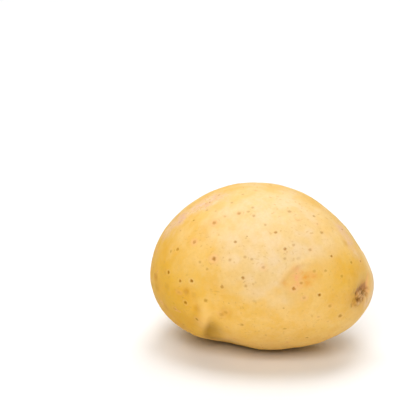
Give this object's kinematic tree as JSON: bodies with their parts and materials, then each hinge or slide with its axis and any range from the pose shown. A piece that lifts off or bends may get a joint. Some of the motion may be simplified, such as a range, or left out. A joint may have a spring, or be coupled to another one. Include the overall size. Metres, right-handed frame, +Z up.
{
  "type": "potato",
  "caption": "Smooth yellow table potato lying on its side: a blunt bud end, a narrower heel with a corky scar, shallow eyes and a low knob.",
  "frame": {"origin": "on the surface that the potato lies on, below the middle of its box", "axes": "+Z up; +X along the potato's length, from the blunt bud end to the heel with the stem scar; -Y is the front, with the knob and the wide shallow eye"},
  "size_m": [0.0964, 0.0766, 0.0695],
  "materials": {
    "skin": "satin"
  },
  "bodies": {
    "root": {"potato": "skin"}
  },
  "joints": []
}
